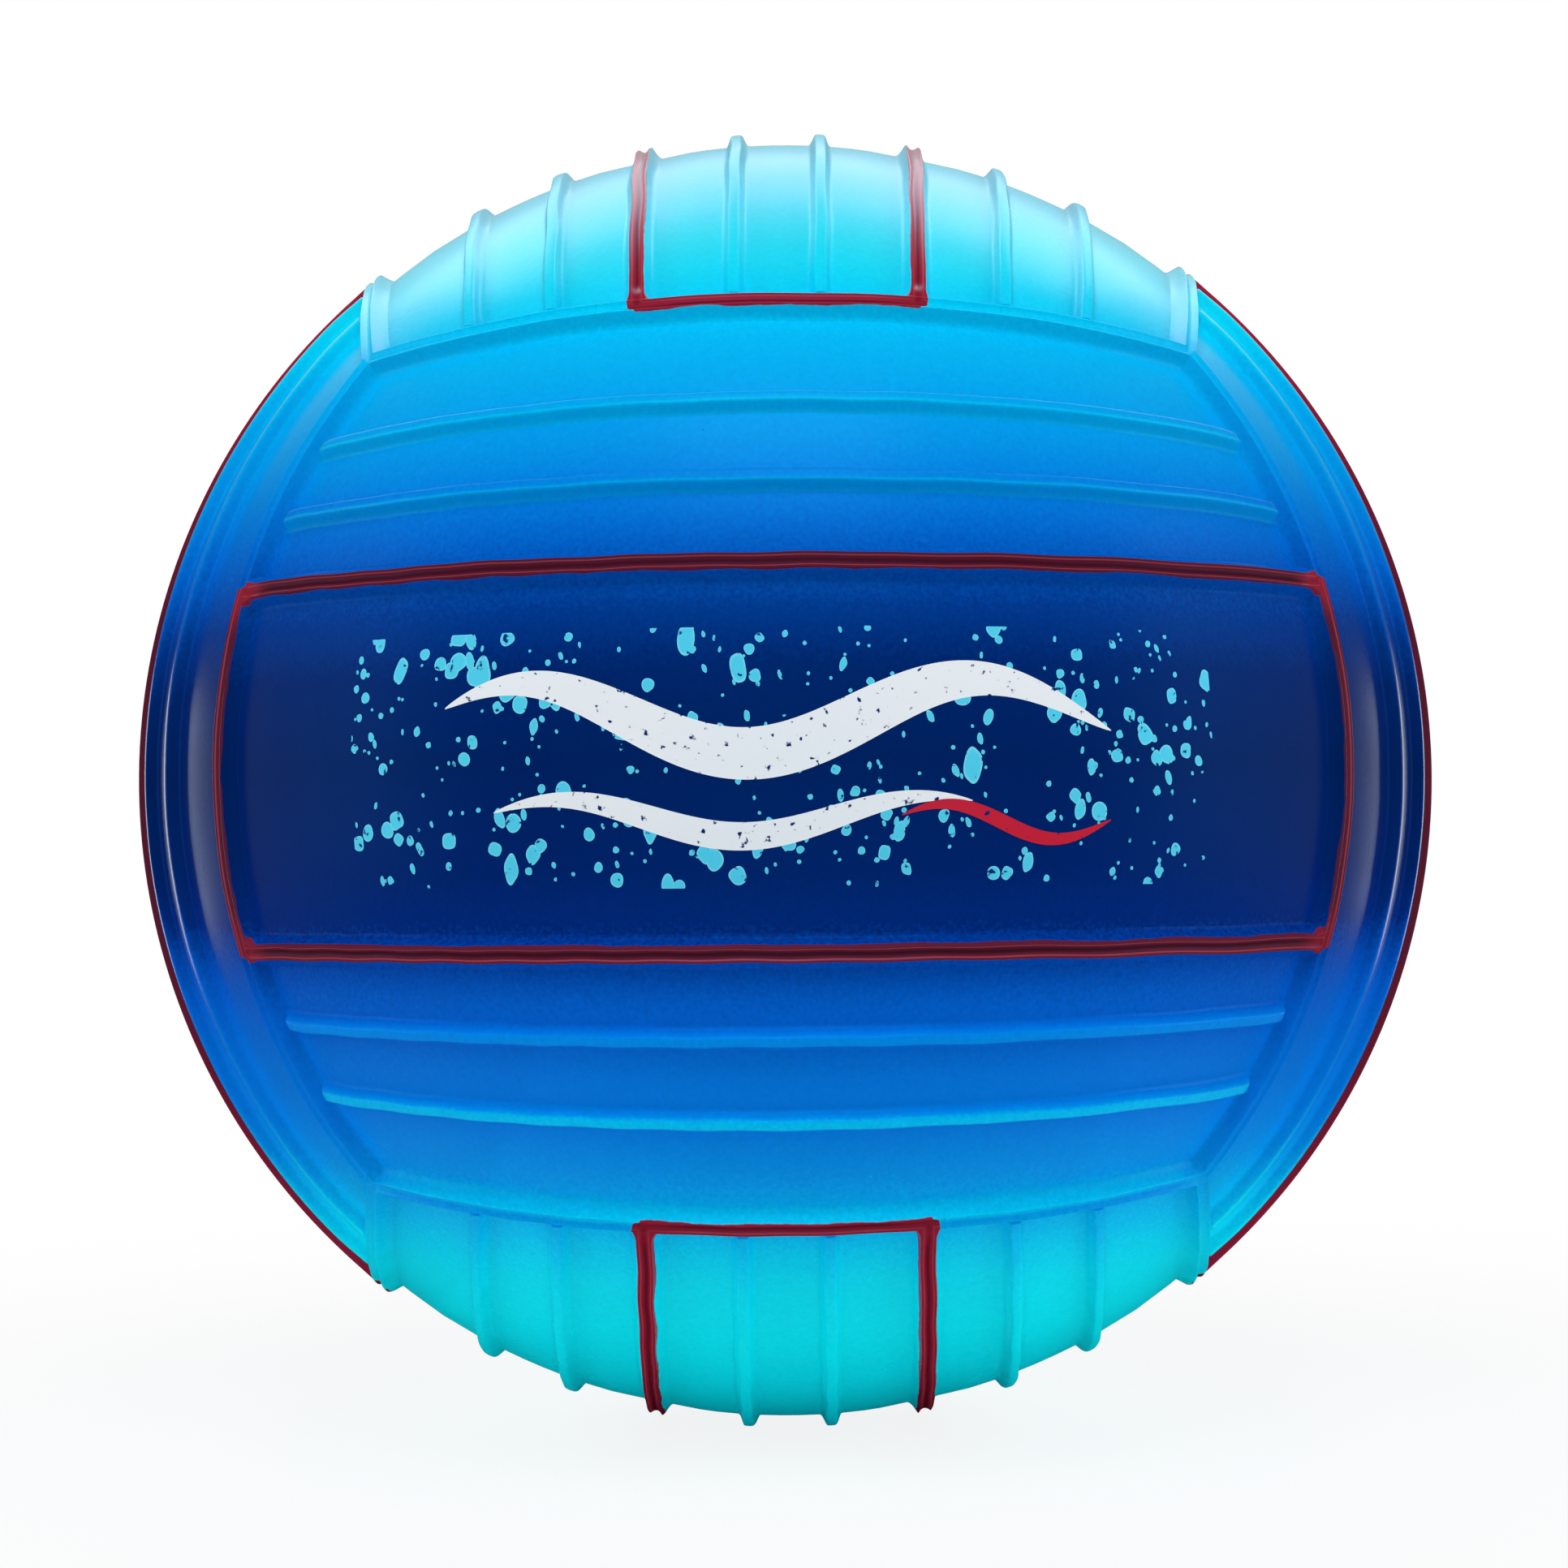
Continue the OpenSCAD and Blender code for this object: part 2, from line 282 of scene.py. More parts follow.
samples = np.array((0.0, LIP_PITCH / 2, 1.4, 1.8, 2.3))
print("seam section:", np.round(seam_height(samples, FACE_LIP_H, 1.0), 2))
print("rib section:", np.round(rib_height(samples), 2))

# %% [markdown]
# Now the height function itself. It adds up three families: the seams between faces, which
# form a cube's twelve edges and meet three by three in a Y, the strips beside the centre
# panels, which butt against those edges in a T, and the ribs, which run into the seams. The
# level ribs of the front and back end a little short of them.
#
# Near a T joint the strip's groove fills up and its lips spread, as the mould's cutter leaves
# them. Between the seams each panel swells a little, because the ball is under pressure.

# %% Height over the ball
RIB_FADE = (0.9, 1.8)
LEVEL_RIB_FADE = (1.6, 3.6)
STRIP_FADE = (0.2, 1.0)
GROOVE_OPEN = (2.0, 4.6)
SPREAD = 0.5
SPREAD_REACH = (0.9, 3.6)
FILLET = 0.35
SWELL = 0.2
SWELL_REACH = (1.8, 8.0)


def end_distance(points, face):
    """How far inside the face's two end seams a point is."""
    return np.minimum(*[distance_to(points, end_plane(face, sign)) for sign in (-1, 1)])


def within(points, face):
    """The distance inside the end seams, and whether a point is between them at all."""
    inside = end_distance(points, face)
    return inside, (points @ AXES[face][:, 0] > 0) & (inside > 0)


def edge_distance(points, face, sign):
    """Distance from one cube edge, which ends at two corners."""
    away = distance_to(points, side_plane(face, sign))
    outward, along, _ = (points @ AXES[face]).T
    beyond = np.maximum(np.abs(along) - CORNER, 0)
    return np.hypot(away, beyond + np.where(outward < 0, BALL_R, 0))


def strip_offsets(points, face):
    """Signed distances from the two strip lines, both positive away from the centre panel."""
    cut = inner_line(face)
    return from_cut(points, face, cut), -from_cut(points, face, far(cut))


def joined(one, other):
    """Two ridges with a fillet between them, and no lift where either is flat."""
    return smooth_max(one, other, FILLET, ease(np.minimum(one, other), 0, FILLET))


def height(points):
    seams = np.min([edge_distance(points, f, s) for f in FACES for s in (-1, 1)], axis=0)
    relief = seam_height(seams, FACE_LIP_H, 1.0)
    for face in FACES:
        inside, near = within(points, face)
        open_groove = ease(inside, *GROOVE_OPEN)
        spread = 1 + SPREAD * (1 - ease(inside, *SPREAD_REACH)) ** 2
        fade = ease(inside, *STRIP_FADE)
        for offset in strip_offsets(points, face):
            away = np.abs(offset)
            seams = np.where(near, np.minimum(seams, away), seams)
            strip = seam_height(away / spread, INNER_LIP_H, open_groove) * fade
            relief = np.where(near, joined(relief, strip), relief)
        fade = ease(inside, *(LEVEL_RIB_FADE if face in WIDE_FACES else RIB_FADE))
        for cut in all_ribs(face):
            rib = rib_height(np.abs(from_cut(points, face, cut))) * fade
            relief = np.where(near, joined(relief, rib), relief)
    return relief + SWELL * ease(seams, *SWELL_REACH)


print("height at the top's middle:", np.round(height(np.array([[0, 0, BALL_R]])), 2))

# %% [markdown]
# Two more measures over the ball. The lines of a moulded ball are never quite straight, so
# all points drift sideways by a few slow waves, the same for every piece.
#
# The paint of a seam frame has its own wavy borders, because it was sprayed through a mask
# that never sat quite right. The measure is negative inside the paint.

# %% Drift of the lines, and where the seam paint ends
DRIFT = 0.06
PAINT_HALF = 1.12
BAR_HALF = 1.05
PAINT_SINK = 0.12
PAINT_WAVE = 0.05
BORDER_PHASES = (0.0, 2.0, 4.0, 5.0)
SIDE_SPILL = 0.7
LOW_FLARE, HIGH_FLARE = 0.9, 0.3
JOINT_CUT = 0.75
WAVES = (
    (0.31, 0.4, (1, 0.3, 0.2), (0.2, 1.0, 0.6)),
    (0.43, 1.7, (0.2, 1, -0.4), (1.0, -0.3, 0.7)),
    (0.37, 2.9, (-0.3, 0.5, 1), (-0.6, 0.8, 0.2)),
    (0.71, 4.1, (0.8, -0.5, 0.6), (0.5, 0.5, -0.9)),
)


def swings(points, phase=0.0):
    """The slow waves over the ball, one by one."""
    turns = [rate * (points @ np.array(way)) + start + phase for rate, start, way, _ in WAVES]
    return [np.sin(turn) for turn in turns]


def drifted(points):
    """Directions from the ball's middle to the drifted points."""
    pushed = points
    for swing, (*_, push) in zip(swings(points), WAVES):
        pushed = pushed + DRIFT * swing[:, None] * np.array(push)
    return pushed / np.linalg.norm(pushed, axis=1)[:, None]


def paint_distance(points, face):
    outside = -end_distance(points, face)
    strip = np.maximum(*strip_offsets(points, face))
    flare = (1 - ease(-outside, *SPREAD_REACH)) ** 2
    half = PAINT_HALF - PAINT_SINK * np.clip(points[:, 2] / CORNER, -1, 1)
    wobbles = [PAINT_WAVE * (sum(swings(points, phase)) / 2) for phase in BORDER_PHASES]
    low = half + LOW_FLARE * flare + wobbles[0]
    high = half + HIGH_FLARE * flare + wobbles[1]
    if face in ("left", "right"):
        high = high + SIDE_SPILL
    bar_low, bar_high = BAR_HALF + wobbles[2], BAR_HALF + wobbles[3]
    corner = (outside - bar_high + strip - high) / math.sqrt(2) + JOINT_CUT
    reach = np.max([strip - high, outside - bar_high, corner], axis=0)
    return np.minimum(np.maximum(reach, -low - strip), np.maximum(reach, -bar_low - outside))


def line_distance(points, face):
    """Distance from the nearest line of a face's frame."""
    inside = end_distance(points, face)
    strip = np.abs(np.maximum(*strip_offsets(points, face)))
    return np.where(inside > 0, np.minimum(strip, inside), np.abs(inside))


def joint_distance(points, face):
    """Distance from the nearest T joint of a face's frame."""
    strip = np.min(np.abs(strip_offsets(points, face)), axis=0)
    return np.hypot(end_distance(points, face), strip)


FRAME_MEASURES = {
    "from_line": line_distance, "from_paint": paint_distance, "from_joint": joint_distance,
}

# %% [markdown]
# Where the fade runs paler or darker: painted light and shade on the ribs and seams. In the
# lower half each level rib gets a painted highlight on the flank that looks up, crisp on its
# crest and soft above, as a light from above would give it. So does the seam along the bottom
# face, and its lower lip gets painted shade. In the upper half the ribs' lower flanks are
# painted paler, which softens the shade there. The upright ribs at the sides get a pale
# painted sheen along their crests, and the ribs on the bottom face get painted shade on theirs.
#
# One could paint these bands by hand. Here they follow the ribs' own lines, so they sit right
# on the relief, and say how much further down the fade is read, in shares of the height.

# %% Painted light and shade on the ribs and seams
# Painted light and shade: how far each band shifts where the fade is read.
LOWER_BAND, LOWER_EDGES = 0.076, ((-0.7, -0.4), (0.4, 1.5))
UPPER_BAND, UPPER_EDGES = -0.055, ((-2.0, -1.3), (-0.5, -0.2))
SEAM_BAND, ABOVE_SEAM, BELOW_SEAM = 0.021, ((0.0, 0.5), (0.8, 3.4)), ((-2.1, -1.3), (-0.4, 0.0))
FOOT_BAND = -0.012
FLANK_BAND = 0.022
CREST_EDGES = (0.4, 1.1)
BAND_TAPER = (1.8, 3.6)
SEAM_TAPER = (0.0, 5.0)


def band(value, rise, fall):
    """1 between the two, with a soft passage at either side."""
    return ease(value, *rise) * (1 - ease(value, *fall))


# Painted highlights and painted shade of the ribs and seams, as a shift of where the fade is read.
def painted_light(points):
    shift = np.zeros(len(points))
    for face in WIDE_FACES:
        inside, near = within(points, face)
        taper = ease(inside, *BAND_TAPER) * near
        for cut in rib_lines(face)[0]:
            up = from_cut(points, face, cut)
            shift = shift + UPPER_BAND * band(up, *UPPER_EDGES) * taper
            up = from_cut(points, face, far(cut))
            shift = shift + LOWER_BAND * band(up, *LOWER_EDGES) * taper
        up = -distance_to(points, side_plane(face, -1))
        both = SEAM_BAND * (band(up, *ABOVE_SEAM) - band(up, *BELOW_SEAM))
        outward, along, _ = (points @ AXES[face]).T
        shift = shift + both * ease(CORNER - np.abs(along), *SEAM_TAPER) * (outward > 0)
    flank = FLANK_BAND * -np.sign(points[:, 2])
    for face, strength in (("bottom", FOOT_BAND), ("left", flank), ("right", flank)):
        inside, near = within(points, face)
        for cut in all_ribs(face):
            crest = 1 - ease(np.abs(from_cut(points, face, cut)), *CREST_EDGES)
            shift = shift + strength * crest * ease(inside, *RIB_FADE) * near
    return shift


# %% [markdown]
# Mesh lines. Across a rib or a seam they lie close together, at listed distances that catch
# the lips and hollows, and between them they are evenly spread. Blending a and b of two cuts
# gives the cuts in between, which never cross.

# %% Where the mesh lines lie
SEAM_BORDER = 2.3
SEAM_LINES = (0.0, 0.22, 0.42, 0.58, 0.7, 0.79, 0.86, 0.92, 0.98, 1.05, 1.14, 1.25, 1.38,
              1.54, 1.74, 2.0, SEAM_BORDER)
RIB_LINES = (0.0, 0.3, 0.46, 0.57, 0.65, 0.73, 0.82, 0.95, 1.1, 1.3, 1.55, 1.85, 2.2)
BORDER_LINES = (0.0, 0.35, 0.8, 1.4)
PANEL_STEP = 2.2


def both_sides(distances):
    return [-d for d in reversed(distances[1:])] + list(distances)


def mirrored(cuts):
    """The same cuts on the near side, again in order."""
    return [far(cut) for cut in reversed(cuts)]


def spread_cuts(first, last):
    """Even cuts between two, without the two themselves."""
    gap = abs(math.asin(last[0] / BALL_R) - math.asin(first[0] / BALL_R)) * BALL_R
    count = max(int(gap / PANEL_STEP), 1)
    shares = [(i + 1) / (count + 1) for i in range(count)]
    return [tuple(np.add(first, np.subtract(last, first) * share)) for share in shares]


def ridge_cuts(cut, lines):
    return [parallel(cut, d) for d in both_sides(lines)]


def chained(groups):
    """Groups of close cuts with even cuts between them."""
    cuts = list(groups[0])
    for group in groups[1:]:
        cuts += spread_cuts(cuts[-1], group[0]) + list(group)
    return cuts


def closing_cuts(stop):
    """Close cuts that end where the next seam piece begins."""
    return [parallel(stop, -d) for d in reversed(BORDER_LINES)]


def side_cuts(face):
    """Mesh lines of the panel between the centre panel and the far long side."""
    start = parallel(inner_line(face), SEAM_BORDER)
    first = [parallel(start, d) for d in BORDER_LINES]
    ribs = [ridge_cuts(cut, RIB_LINES) for cut in rib_lines(face)[0]]
    return chained([first] + ribs + [closing_cuts(parallel(SIDE, -SEAM_BORDER))])


def centre_cuts(face):
    last = closing_cuts(parallel(inner_line(face), -SEAM_BORDER))
    groups = [mirrored(last)]
    if face not in WIDE_FACES:
        rib = ridge_cuts(rib_lines(face)[1], RIB_LINES)
        groups += [mirrored(rib), rib]
    return chained(groups + [last])


print("lines across a side panel:", len(side_cuts("top")))

# %% [markdown]
# From grids to a solid piece. The grids of one piece are welded where they share a border,
# raised by the height function, and closed: a copy of the grid at the panel's inner radius
# is the underside, and a wall joins the two round every open border. Normals are smooth, and
# only edges over fifty degrees stay sharp, which are those of the walls.

# %% Weld grids and close them into a solid
COVER_T = 1.6
SHARP = math.radians(50)
pieces = {}


def placed(name, data):
    """A new object with that mesh, lamp or camera, in the scene."""
    thing = bpy.data.objects.new(name, data)
    bpy.context.scene.collection.objects.link(thing)
    return thing


def weld(grids):
    """One list of points and faces from grids that share borders."""
    points, faces, start = [], [], 0
    for grid in grids:
        flat = grid.reshape(-1, 3)
        index = np.arange(len(flat)).reshape(grid.shape[:2])
        corners = (index[:-1, :-1], index[:-1, 1:], index[1:, 1:], index[1:, :-1])
        quads = np.stack(corners, -1).reshape(-1, 4)
        probe = flat[quads[len(quads) // 2]]
        if np.dot(np.cross(probe[2] - probe[0], probe[3] - probe[1]), probe[0]) < 0:
            quads = quads[:, ::-1]
        points.append(flat)
        faces.append(quads + start)
        start += len(flat)
    points = np.concatenate(points)
    keys = np.round(points, 3) + 0.0
    _, first, back = np.unique(keys, axis=0, return_index=True, return_inverse=True)
    quads = back.reshape(-1)[np.concatenate(faces)].tolist()
    # A squeezed quad loses its repeated corner, and one without three corners goes.
    loops = [[v for i, v in enumerate(quad) if v != quad[i - 1]] for quad in quads]
    return points[first], [loop for loop in loops if len(set(loop)) >= 3]


def solid_from(name, grids, painted_face=None):
    """A closed piece. A seam frame also carries the measures that its paint reads."""
    points, faces = weld(grids)
    unit = drifted(points)
    outer = unit * (BALL_R + height(points))[:, None]
    count = len(points)
    sides = dict.fromkeys((a, b) for face in faces for a, b in zip(face, face[1:] + face[:1]))
    walls = [[b, a, a + count, b + count] for a, b in sides if (b, a) not in sides]
    under = [[v + count for v in reversed(face)] for face in faces]
    mesh = bpy.data.meshes.new(name)
    corners = np.concatenate((outer, unit * (BALL_R - COVER_T))) * MM
    mesh.from_pydata(corners.tolist(), [], faces + walls + under)
    mesh.validate()
    mesh.shade_smooth()
    mesh.set_sharp_from_angle(angle=SHARP)
    # Every piece carries the painted light and shade of the ribs and seams.
    measures = {"painted_light": painted_light(points)}
    if painted_face:
        for label, measure in FRAME_MEASURES.items():
            measures[label] = measure(points, painted_face)
    for label, values in measures.items():
        field = mesh.attributes.new(label, "FLOAT", "POINT")
        field.data.foreach_set("value", np.tile(values, 2))
    pieces[name] = placed(name, mesh)


# %% [markdown]
# The panels. A panel's grid has its lines along the face and its steps from one end seam to
# the other. The side panel on the near side is the far one with its cuts mirrored.

# %% Build the eighteen panels
SIDE_WORDS = {"top": "upper", "bottom": "lower"}


def close_at_ends(ends, middle, count):
    """Shares along a line: the given close ones at both ends, and even ones between."""
    even = np.linspace(middle, 1 - middle, count)
    return np.concatenate((ends, even, [1 - share for share in reversed(ends)]))


PANEL_STEPS = close_at_ends((0.0, 0.004, 0.01, 0.018), 0.03, 64)


def face_grid(face, cuts, steps):
    """Points along each cut from one end of the face to the other."""
    normal, along, _ = AXES[face].T
    rows = []
    for cut in cuts:
        plane = cut_plane(face, cut)
        ends = [
            meeting(plane, moved(end_plane(face, sign), SEAM_BORDER), normal + sign * along)
            for sign in (-1, 1)
        ]
        rows.append(along_circle(plane, *ends, steps))
    return np.array(rows)


for face in FACES:
    across, cuts = AXES[face][:, 2], side_cuts(face)
    panels = {"centre": centre_cuts(face), face_toward(across): cuts}
    panels[face_toward(-across)] = mirrored(cuts)
    for side, cuts in panels.items():
        place = SIDE_WORDS.get(side, side)
        solid_from(f"{face}_{place}_cover", [face_grid(face, cuts, PANEL_STEPS)])
print("panels:", len(pieces), "points on one:", len(pieces["top_left_cover"].data.vertices))

# %% [markdown]
# The seam frames. Round each centre panel run two strips, and two bars close them at the
# ends. The bar's steps are the strips' and the panel's own mesh lines, so the four grids
# weld into one ring with no gap at the T joints.

# %% Build the six seam frames
T_STEPS = (0.0, 0.0025, 0.005, 0.008, 0.011, 0.0145, 0.0185, 0.023, 0.028, 0.034)
STRIP_STEPS = close_at_ends(T_STEPS, 0.045, 76)


def bar_grid(face, sign, cuts):
    """Rows at the seam's own lines and columns at the given cuts of the face."""
    hint = AXES[face] @ np.array((1.0, sign, 0))
    rows = [moved(end_plane(face, sign), d) for d in both_sides(SEAM_LINES)]
    columns = [cut_plane(face, cut) for cut in cuts]
    return np.array([[meeting(row, column, hint) for column in columns] for row in rows])


for face in FACES:
    strip = ridge_cuts(inner_line(face), SEAM_LINES)
    near_strip = mirrored(strip)
    across = near_strip + centre_cuts(face)[1:-1] + strip
    grids = [face_grid(face, cuts, STRIP_STEPS) for cuts in (strip, near_strip)]
    grids += [bar_grid(face, sign, across) for sign in (-1, 1)]
    solid_from(f"{face}_frame", grids, face)
print("points on one frame:", len(pieces["top_frame"].data.vertices))

# %% [markdown]
# The corner seams. Three arms meet in a Y. Each arm takes the mesh lines of the side panel
# that ends on it, and its last stretch runs to the mitre, the line on which two arms meet.
# Each mitre point is where two parallels cross, one of either arm, so both arms find the
# same point and weld there.

# %% Build the eight corner seams
HUB_STEPS = (0.15, 0.3, 0.45, 0.6, 0.73, 0.85, 0.93, 1.0)


def arm_grid(face, end, side):
    """The arm on the face's end, from the strip to the corner by its long side."""
    normal, along, across = AXES[face].T
    third = face_toward(side * across)
    third_sign = 1 if face_toward(AXES[third][:, 2]) == face_toward(end * along) else -1
    own_side, third_side = side_plane(face, side), side_plane(third, third_sign)
    cuts = side_cuts(face)
    if side < 0:
        cuts = [far(cut) for cut in cuts]
    hint = normal + end * along + side * across / 2
    rows = []
    for distance in both_sides(SEAM_LINES):
        row = moved(end_plane(face, end), distance)
        points = [meeting(row, cut_plane(face, cut), hint) for cut in cuts]
        other = own_side if distance >= 0 else third_side
        mitre = meeting(row, moved(other, -distance), hint)
        rows.append(np.concatenate((points, along_circle(row, points[-1], mitre, HUB_STEPS))))
    return np.array(rows)


for names in itertools.product(("front", "back"), ("top", "bottom"), ("left", "right")):
    corner = sum(AXES[face][:, 0] for face in names)
    grids = []
    for face in names:
        _, end, side = (corner @ AXES[face]).astype(int)
        grids.append(arm_grid(face, end, side))
    solid_from("corner_" + "_".join(names), grids)
print("points on one corner:", len(pieces["corner_front_top_left"].data.vertices))

# %% [markdown]
# Helpers for finishes. A finish is a tree of nodes, and each helper adds one node and gives
# back its result. Shaders count in linear light, so a colour as one sees it is converted
# first.

# %% Node helpers
COLOUR_A, COLOUR_B, COLOUR_OUT = 6, 7, 2


def seen(red, green, blue):
    channels = [c / 255 for c in (red, green, blue)]
    linear = [c / 12.92 if c <= 0.04045 else ((c + 0.055) / 1.055) ** 2.4 for c in channels]
    return (*linear, 1.0)


def feed(node, inputs):
    """Gives a node's inputs their values, or links them where the value is a socket."""
    for key, value in inputs.items():
        if isinstance(value, bpy.types.NodeSocket):
            node.id_data.links.new(value, node.inputs[key])
        else:
            node.inputs[key].default_value = value


def add(near, kind, inputs=None, **settings):
    """A node in the tree that a socket, or the tree itself, belongs to."""
    node = near.id_data.nodes.new("ShaderNode" + kind)
    for key, value in settings.items():
        setattr(node, key, value)
    feed(node, inputs or {})
    return node


def math_node(operation, first, second=0.0, third=0.0):
    return add(first, "Math", {0: first, 1: second, 2: third}, operation=operation).outputs[0]


def mix_colour(share, first, second):
    """A Mix node keeps its colour sockets after those for numbers and vectors."""
    inputs = {0: share, COLOUR_A: first, COLOUR_B: second}
    return add(share, "Mix", inputs, data_type="RGBA").outputs[COLOUR_OUT]


def passage(value, low, high, start=0.0, end=1.0, way="LINEAR"):
    """A number that goes from start to end while the value goes from low to high."""
    inputs = {"Value": value, "From Min": low, "From Max": high, "To Min": start, "To Max": end}
    return add(value, "MapRange", inputs, interpolation_type=way).outputs[0]


def soft_passage(value, low, high, end=1.0):
    return passage(value, low, high, end=end, way="SMOOTHSTEP")


def new_material(name):
    material = bpy.data.materials.new(name)
    material.use_nodes = True
    place = add(material.node_tree, "TexCoord").outputs["Object"]
    return material, material.node_tree.nodes["Principled BSDF"], place


def attribute(place, name):
    return add(place, "Attribute", attribute_name=name).outputs["Fac"]


def noise(place, size_mm, detail=2.0):
    """Noise with spots about that many millimetres across."""
    inputs = {"Vector": place, "Scale": 0.5 / (size_mm * MM), "Detail": detail}
    return add(place, "TexNoise", inputs).outputs[0]


def ramp(value, stops):
    node = add(value, "ValToRGB", {"Fac": value})
    marks = node.color_ramp.elements
    while len(marks) < len(stops):
        marks.new(0.5)
    for element, (place, colour) in zip(marks, stops):
        element.position = place
        element.color = seen(*colour)
    return node.outputs["Color"]


# %% [markdown]
# The body colour depends on the height on the ball: the real one is airbrushed in a navy band
# round its middle, fading through blue and cyan to pale caps. The painted light and shade on
# the ribs and seams is the same ramp, read from a little further down or up.
#
# The fade isn't smooth close up. Airbrush paint lands as fine droplets, so the height gets a
# little fine noise before the ramp reads it, and that gives real speckle, not a grey veil.

# %% The airbrushed fade and the feel of the rubber
# Height on the ball in shares of its radius, and the colour there.
FADE = (
    (-1.00, (0, 232, 248)), (-0.90, (0, 240, 252)), (-0.80, (0, 243, 253)), (-0.72, (0, 234, 252)),
    (-0.68, (0, 220, 251)), (-0.64, (0, 198, 248)), (-0.60, (0, 175, 241)), (-0.56, (0, 151, 237)),
    (-0.50, (0, 133, 233)), (-0.42, (0, 120, 225)), (-0.34, (0, 101, 213)), (-0.28, (0, 78, 184)),
    (-0.22, (0, 41, 128)), (-0.15, (0, 34, 108)), (0.00, (0, 31, 96)), (0.12, (0, 36, 108)),
    (0.20, (0, 55, 142)), (0.25, (0, 79, 178)), (0.30, (0, 102, 205)), (0.36, (0, 125, 220)),
    (0.44, (0, 152, 231)), (0.52, (0, 169, 237)), (0.58, (0, 184, 242)), (0.64, (0, 208, 247)),
    (0.70, (8, 219, 245)), (0.76, (16, 220, 242)), (0.86, (20, 205, 233)), (1.00, (24, 202, 231)),
)
RED_FADE = (
    (-1.00, (150, 22, 46)), (-0.70, (158, 22, 46)), (-0.45, (124, 26, 44)), (-0.25, (98, 30, 48)),
    (0.25, (92, 26, 46)), (0.45, (120, 26, 46)), (0.70, (166, 28, 54)), (1.00, (176, 40, 66)),
)
JOINT_FADE = (
    (-0.66, (148, 20, 38)), (-0.30, (152, 32, 46)), (0.20, (164, 34, 50)), (0.42, (190, 48, 66)),
    (0.66, (140, 20, 38)),
)
SPECKLE, SPECKLE_MM = 0.036, 0.28
GRAIN, GRAIN_MM = 0.18, 0.4
FLECK_SPACING, FLECK_R, FLECK_SHARE = 8.0, 0.14, 0.6
FLECK_COLOUR = (0, 24, 70)
BODY_ROUGH, UNEVEN, PATCH_MM = 0.26, 0.1, 9.0
PORE_MM, PORE_DEPTH, PORE_STRENGTH = 0.35, 0.012, 0.35
GLOSS_LEVEL, GLOSS_TINT = 0.8, (0.04, 0.4, 1.0, 1.0)


def level(place):
    """Where the fade is read, from 0 at the foot to 1 at the top, with speckle and painted light.
    """
    up = add(place, "SeparateXYZ", {0: place}).outputs["Z"]
    grain = math_node("SUBTRACT", noise(place, SPECKLE_MM), 0.5)
    speck = math_node("MULTIPLY_ADD", grain, SPECKLE, 0.5)
    # The painted light and shade of the ribs and seams shifts where the fade is read.
    painted = math_node("SUBTRACT", speck, attribute(place, "painted_light"))
    return math_node("MULTIPLY_ADD", up, 0.5 / (BALL_R * MM), painted)


def faded(place, stops):
    return ramp(level(place), [((up + 1) / 2, colour) for up, colour in stops])


def flecked(place, colour):
    """The colour with the spray's uneven tone and a few dark flecks of dirt in it."""
    uneven = noise(place, GRAIN_MM, 3.0)
    tone = math_node("MULTIPLY_ADD", uneven, GRAIN, 1 - GRAIN / 2)
    sprayed = add(place, "HueSaturation", {"Value": tone, "Color": colour}).outputs[0]
    cells = add(place, "TexVoronoi", {"Vector": place, "Scale": 1 / (FLECK_SPACING * MM)})
    pick = add(place, "SeparateColor", {0: cells.outputs["Color"]}).outputs[0]
    size = math_node("MULTIPLY", pick, FLECK_R / FLECK_SPACING)
    fleck = math_node("LESS_THAN", cells.outputs["Distance"], size)
    share = math_node("MULTIPLY", fleck, FLECK_SHARE)
    return mix_colour(share, sprayed, seen(*FLECK_COLOUR))


def rubber(shader, place, colour, rough=BODY_ROUGH):
    """Satin rubber in that colour: uneven gloss, and the mould's very fine grain as bump."""
    patches = noise(place, PATCH_MM, 3.0)
    gloss = math_node("MULTIPLY_ADD", patches, UNEVEN, rough - UNEVEN / 2)
    pores = noise(place, PORE_MM, 3.0)
    relief = {"Height": pores, "Strength": PORE_STRENGTH, "Distance": PORE_DEPTH * MM}
    feed(shader, {
        "Base Color": colour, "Roughness": gloss, "Normal": add(place, "Bump", relief).outputs[0],
        "Specular IOR Level": GLOSS_LEVEL, "Specular Tint": GLOSS_TINT,
    })


# %% [markdown]
# The finishes. The body's cover is the fade alone. The seam frame is red paint over it: the
# paint ends a little short of the seam's foot, in an uneven edge, and the fade shows beyond.
# Navy overspray dulls the red round the ball's middle. The groove gets painted shade, nearly
# black, and the lips a painted highlight, a light line along their inner edges. Toward the T
# joints the paint is one even dab, fresher in front because the overspray thins out there.
# All this is read from the distances that each frame piece carries as attributes.

# %% Cover and seam paint
GROOVE_REACH, GROOVE_FULL, GROOVE_SHADE = 0.42, 0.1, 0.6
CREST_LINE, CREST_HALF, CREST_HIGHLIGHT = 0.64, 0.14, 0.55
JOINT_REACH, JOINT_FULL, JOINT_FRESH = 6.5, 1.0, 0.55
RAGGED, RAGGED_MM, EDGE_SOFT = 0.25, 1.6, (-0.03, 0.05)
# Painted shade for the groove, and a painted highlight for the lips.
SHADE_COLOUR, HIGHLIGHT_COLOUR = (36, 6, 18), (190, 84, 92)
PAINT_ROUGH = 0.24

cover, shader, place = new_material("cover_fade")
rubber(shader, place, flecked(place, faded(place, FADE)))

